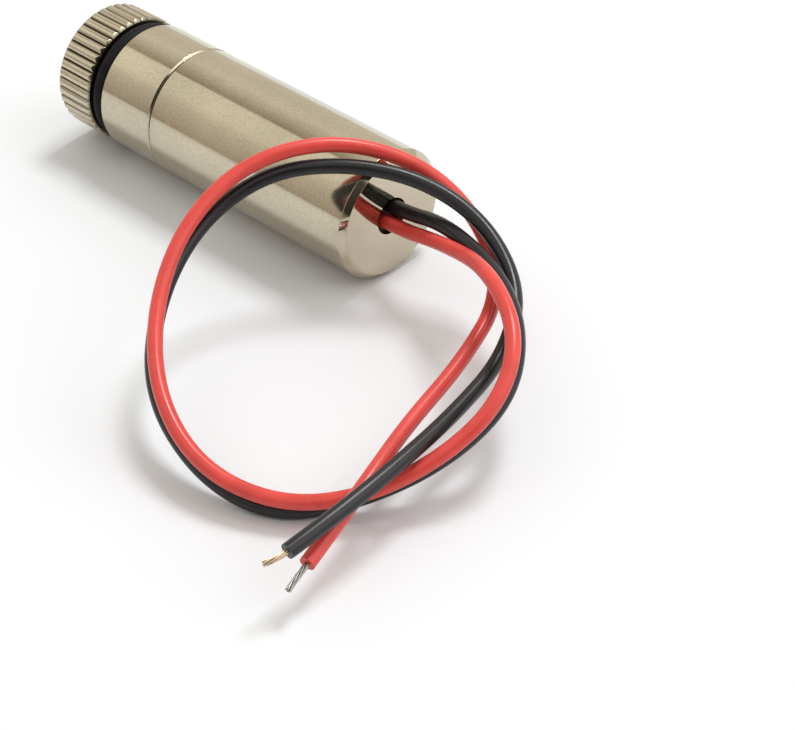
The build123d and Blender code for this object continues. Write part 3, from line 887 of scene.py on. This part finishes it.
class LASERMODULE_OT_stage(bpy.types.Operator):
    """Set up the white floor, the soft light and the camera"""

    bl_idname = "laser_module.stage"
    bl_label = "Stage"

    def execute(self, context):
        stage = context.scene.laser_stage
        context.scene.view_settings.view_transform = "Standard"
        self.floor(stage)
        self.sky(context.scene, stage)
        self.key(stage)
        self.camera(context.scene, stage)
        return {"FINISHED"}

    def floor(self, stage):
        half = stage.floor_size / 2
        shape = bmesh.new()
        corners = [(-half, -half), (half, -half), (half, half), (-half, half)]
        shape.faces.new([shape.verts.new((x, y, FLOOR_Z)) for x, y in corners])
        mesh = bpy.data.meshes.new("floor")
        shape.to_mesh(mesh)
        shape.free()
        mesh.materials.append(seamless_paper(stage.floor))
        floor = bpy.data.objects.new("floor", mesh)
        bpy.context.collection.objects.link(floor)

    def sky(self, scene, stage):
        """Ceiling panels that end over the barrel, a window, and a dark place at the camera."""
        sky = bpy.data.worlds.new("studio")
        sky.use_nodes = True
        direction = node(sky, "ShaderNodeTexCoord", {}).outputs["Generated"]
        parts = node(sky, "ShaderNodeSeparateXYZ", {"Vector": direction})
        turn = calculated(sky, "ARCTAN2", parts.outputs["Z"], parts.outputs["Y"])
        around = spread(sky, turn, 0.0, 1.0, (-math.pi, math.pi))
        panels = node(sky, "ShaderNodeValToRGB", {"Fac": around})
        ramp = panels.color_ramp
        while len(ramp.elements) < len(PANEL_STOPS):
            ramp.elements.new(0.5)
        for element, (place, level) in zip(ramp.elements, PANEL_STOPS):
            element.position = place
            element.color = (*Vector(stage.dusk).lerp(Vector(stage.sky), level), 1.0)
        glow = self.spot(sky, direction, WINDOW_DIRECTION, WINDOW_ANGLES, (0.0, stage.window))
        lit = blended(sky, 1.0, panels.outputs["Color"], glow, "ADD")
        shade = self.spot(sky, direction, CAMERA_DIRECTION, CAMERA_ANGLES, (1.0, stage.camera_shade))
        lit = blended(sky, 1.0, lit, shade, "MULTIPLY")
        background = sky.node_tree.nodes["Background"]
        sky.node_tree.links.new(lit, background.inputs["Color"])
        background.inputs["Strength"].default_value = stage.sky_strength
        scene.world = sky

    def spot(self, sky, direction, middle, angles, levels):
        """A round place in the sky, with a level for what lies outside it and one for what lies inside."""
        near = node(
            sky, "ShaderNodeVectorMath", {0: direction, 1: Vector(middle).normalized()},
            operation="DOT_PRODUCT"
        )
        return spread(sky, near.outputs["Value"], *levels, (math.cos(angles[0]), math.cos(angles[1])))

    def key(self, stage):
        lamp = bpy.data.lights.new("key", "AREA")
        lamp.energy = stage.key_power
        lamp.size = stage.key_size
        key = bpy.data.objects.new("key", lamp)
        toward = Vector((0.0, -math.cos(stage.key_elevation), math.sin(stage.key_elevation)))
        key.location = toward * stage.key_distance
        key.rotation_euler = toward.to_track_quat("Z", "Y").to_euler()
        bpy.context.collection.objects.link(key)

    def camera(self, scene, stage):
        view = bpy.data.cameras.new("camera")
        view.lens = stage.lens
        view.clip_start = 1.0 * MM
        camera = bpy.data.objects.new("camera", view)
        turn = (
            Matrix.Rotation(stage.camera_pan, 4, "Z")
            @ Matrix.Rotation(math.pi / 2 - stage.camera_tilt, 4, "X")
            @ Matrix.Rotation(stage.camera_roll, 4, "Z")
        )
        camera.matrix_world = Matrix.Translation(Vector(stage.camera_place)) @ turn
        bpy.context.collection.objects.link(camera)
        scene.camera = camera


class LASERMODULE_OT_leads(bpy.types.Operator):
    """Lay the red and the black lead, with their stripped strands"""

    bl_idname = "laser_module.leads"
    bl_label = "Leads"

    def execute(self, context):
        settings = context.scene.laser_leads
        bundle_radius = settings.strand * 1.5
        self.lead(
            "red", RED_ROUTE, settings.red, settings.red_length,
            bare_strands(
                "red_strands", RED_ROUTE, BOARD_BOTTOM - bundle_radius, settings,
                (settings.red_bare, settings.red_splay, 0.0)
            ),
            strand_metal("tinned_strands", settings.tinned), settings.diameter
        )
        self.lead(
            "black", BLACK_ROUTE, settings.black, settings.black_length,
            bare_strands(
                "black_strands", BLACK_ROUTE, BOARD_TOP + bundle_radius, settings,
                (settings.black_bare, settings.black_splay, settings.black_bend)
            ),
            strand_metal("copper_strands", settings.copper), settings.diameter
        )
        return {"FINISHED"}

    def lead(self, name, route, tone, real_length, strands, strand_finish, diameter):
        places = route_places(route)
        line = nurbs_line(f"{name}_lead_cord", places, diameter)
        slot = f"{name}_insulation"
        cord = add_object(f"{name}_lead_cord", line, insulation(slot, tone), "housing")
        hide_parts(f"{name}_lead")
        bare = add_object(f"{name}_strands", strands, strand_finish, "housing")
        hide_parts(f"{name}_core")


class LASERMODULE_OT_barrel(bpy.types.Operator):
    """Turn the two sections of the barrel"""

    bl_idname = "laser_module.barrel"
    bl_label = "Barrel"

    def execute(self, context):
        barrel = context.scene.laser_barrel
        finish = plated_wall(barrel)
        profiles = {"rear_barrel": rear_profile(barrel), "front_barrel": front_profile(barrel)}
        for name, profile in profiles.items():
            mesh = turned_mesh(name, profile)
            section = add_object(f"turned_{name}", mesh, finish, "housing")
            soften_edges(section, barrel.edge_round)
            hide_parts(name)
        return {"FINISHED"}


class LASERMODULE_OT_focus_cap(bpy.types.Operator):
    """Knurl the focusing cap and finish its lens and retainer"""

    bl_idname = "laser_module.focus_cap"
    bl_label = "Focusing Cap"

    def execute(self, context):
        focus = context.scene.laser_focus
        barrel = context.scene.laser_barrel
        mesh = knurled_mesh("knurled_cap", cap_rows(focus, barrel), focus)
        cap = add_object("knurled_cap", mesh, plated_knurl(barrel, focus), "focus_head")
        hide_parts("focus_cap")
        dress("lens", lens_clear())
        dress("lens_retainer", bare_brass())
        return {"FINISHED"}


class LASERMODULE_OT_o_ring(bpy.types.Operator):
    """Mould the O-ring behind the cap"""

    bl_idname = "laser_module.o_ring"
    bl_label = "O-ring"

    def execute(self, context):
        focus = context.scene.laser_focus
        mesh = turned_mesh("moulded_o_ring", ring_profile(focus))
        ring = add_object("moulded_o_ring", mesh, o_ring_rubber(focus.rubber), "o_ring")
        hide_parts("o_ring")
        return {"FINISHED"}


class LASERMODULE_OT_diode(bpy.types.Operator):
    """Finish the laser diode, its clamp ring and the focus spring"""

    bl_idname = "laser_module.diode"
    bl_label = "Diode"

    def execute(self, context):
        gold = gold_plate()
        dress("diode_stem", gold)
        dress("diode_pins", gold)
        dress("diode_can", nickel_cap())
        dress("diode_window", window_glass())
        dress("diode_chip", chip_crystal())
        dress("pin_seals", bead_glass())
        dress("clamp_ring", bare_brass())
        dress("focus_spring", spring_wire())
        return {"FINISHED"}


class LASERMODULE_OT_driver(bpy.types.Operator):
    """Finish the driver board, its parts, its sleeve and the potting at the cable hole"""

    bl_idname = "laser_module.driver"
    bl_label = "Driver"

    def execute(self, context):
        moulded = mould_black()
        dress("board_sleeve", sleeve_film())
        dress("driver_board", board_laminate())
        dress("driver_chip", moulded)
        dress("power_transistor", moulded)
        dress("power_trimmer", trimmer_body())
        dress("chip_capacitors", capacitor_body())
        dress("chip_resistors", resistor_body())
        dress("solder_joints", solder())
        dress("lead_plug", potting())
        return {"FINISHED"}


class LASERMODULE_PT_panel(bpy.types.Panel):
    """Pieces of the laser diode module"""

    bl_label = "Laser Module"
    bl_idname = "LASERMODULE_PT_panel"
    bl_space_type = "VIEW_3D"
    bl_region_type = "UI"
    bl_category = "Laser Module"

    def draw(self, context):
        for operator in OPERATORS:
            self.layout.operator(operator.bl_idname)
        for settings in SETTINGS:
            group = getattr(context.scene, settings)
            box = self.layout.box()
            for name in group.bl_rna.properties.keys():
                if name not in ("rna_type", "name"):
                    box.prop(group, name)


SETTINGS = {
    "laser_stage": StageSettings,
    "laser_leads": LeadSettings,
    "laser_barrel": BarrelSettings,
    "laser_focus": FocusSettings,
}
OPERATORS = (
    LASERMODULE_OT_stage,
    LASERMODULE_OT_leads,
    LASERMODULE_OT_barrel,
    LASERMODULE_OT_focus_cap,
    LASERMODULE_OT_o_ring,
    LASERMODULE_OT_diode,
    LASERMODULE_OT_driver,
)


def register():
    for cls in (*SETTINGS.values(), *OPERATORS, LASERMODULE_PT_panel):
        bpy.utils.register_class(cls)
    for name, group in SETTINGS.items():
        setattr(bpy.types.Scene, name, PointerProperty(type=group))


def unregister():
    for name in SETTINGS:
        delattr(bpy.types.Scene, name)
    for cls in (LASERMODULE_PT_panel, *reversed(OPERATORS), *reversed(list(SETTINGS.values()))):
        bpy.utils.unregister_class(cls)


def main():
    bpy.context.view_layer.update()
    register()
    bpy.ops.laser_module.stage()
    bpy.ops.laser_module.leads()
    bpy.ops.laser_module.barrel()
    bpy.ops.laser_module.focus_cap()
    bpy.ops.laser_module.o_ring()
    bpy.ops.laser_module.diode()
    bpy.ops.laser_module.driver()


if __name__ == "__main__":
    main()
